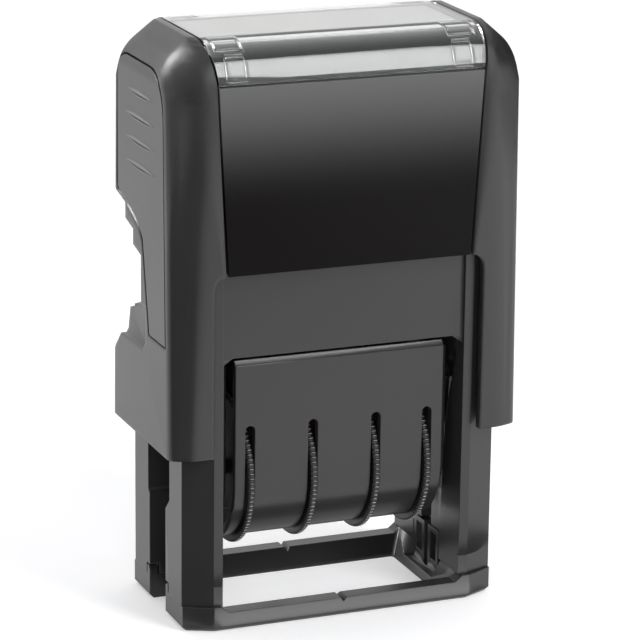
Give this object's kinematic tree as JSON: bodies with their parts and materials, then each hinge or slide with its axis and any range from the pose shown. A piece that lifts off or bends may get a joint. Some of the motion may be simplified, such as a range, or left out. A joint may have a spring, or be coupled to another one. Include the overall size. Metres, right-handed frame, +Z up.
{
  "type": "date stamp",
  "caption": "Self-inking date stamp: a sprung cap slides down over a legged frame and turns a date unit with thumb wheels from the ink pad to the paper.",
  "frame": {"origin": "centre of the foot ring's footprint, on the surface that it stands on", "axes": "+X to the right seen from the front, +Y towards the back, +Z up along the stroke"},
  "size_m": [0.0532, 0.0266, 0.084],
  "materials": {
    "anthracite_plastic": "fine moulded texture, satin",
    "dark_plastic": "moulded, satin",
    "gloss_panel": "smooth gloss insert",
    "clear_plastic": "clear polished",
    "white_card": "matt card",
    "band_rubber": "moulded rubber",
    "spring_steel": "drawn wire",
    "pin_steel": "turned",
    "ink_foam": "open foam soaked with ink"
  },
  "bodies": {
    "frame": {"foot_ring": "anthracite_plastic", "frame": "anthracite_plastic"},
    "cap": {"cap_shell": "anthracite_plastic", "side_plate_left": "anthracite_plastic", "side_plate_right": "anthracite_plastic", "front_panel": "gloss_panel", "rear_panel": "gloss_panel", "index_card": "white_card", "return_spring": "spring_steel"},
    "date_unit": {"type_carrier": "dark_plastic", "date_cover": "anthracite_plastic", "wheel_shaft": "pin_steel", "axle_pin_left": "pin_steel", "axle_pin_right": "pin_steel", "type_band_day_tens": "band_rubber", "type_band_day_units": "band_rubber", "type_band_month": "band_rubber", "type_band_year": "band_rubber"},
    "cartridge": {"ink_cartridge": "dark_plastic", "ink_pad": "ink_foam"},
    "window": {"index_window": "clear_plastic"},
    "wheel_day_tens": {"thumb_wheel_day_tens": "dark_plastic"},
    "wheel_day_units": {"thumb_wheel_day_units": "dark_plastic"},
    "wheel_month": {"thumb_wheel_month": "dark_plastic"},
    "wheel_year": {"thumb_wheel_year": "dark_plastic"}
  },
  "joints": [
    {"name": "press", "type": "slide", "parent": "frame", "child": "cap", "axis": [0, 0, -1], "range_m": [0, 0.02], "stiffness_N_per_m": 350, "springref_m": -0.012, "deforming": ["return_spring"]},
    {"name": "flip", "type": "hinge", "parent": "cap", "child": "date_unit", "pos_m": [0, 0, 0.033], "axis": [1, 0, 0], "range_deg": [0, 180]},
    {"name": "cartridge_slide", "type": "slide", "parent": "frame", "child": "cartridge", "axis": [0, -1, 0], "range_m": [-0.02, 0]},
    {"name": "window_lift", "type": "slide", "parent": "cap", "child": "window", "axis": [0, 0, 1], "range_m": [0, 0.008]},
    {"name": "wheel_day_tens_turn", "type": "hinge", "parent": "date_unit", "child": "wheel_day_tens", "pos_m": [0, 0, 0.0202], "axis": [1, 0, 0], "continuous": true},
    {"name": "wheel_day_units_turn", "type": "hinge", "parent": "date_unit", "child": "wheel_day_units", "pos_m": [0, 0, 0.0202], "axis": [1, 0, 0], "continuous": true},
    {"name": "wheel_month_turn", "type": "hinge", "parent": "date_unit", "child": "wheel_month", "pos_m": [0, 0, 0.0202], "axis": [1, 0, 0], "continuous": true},
    {"name": "wheel_year_turn", "type": "hinge", "parent": "date_unit", "child": "wheel_year", "pos_m": [0, 0, 0.0202], "axis": [1, 0, 0], "continuous": true}
  ],
  "couplings": [
    {"joint": "flip", "follows": "press", "rad_per_m": 157.08}
  ]
}
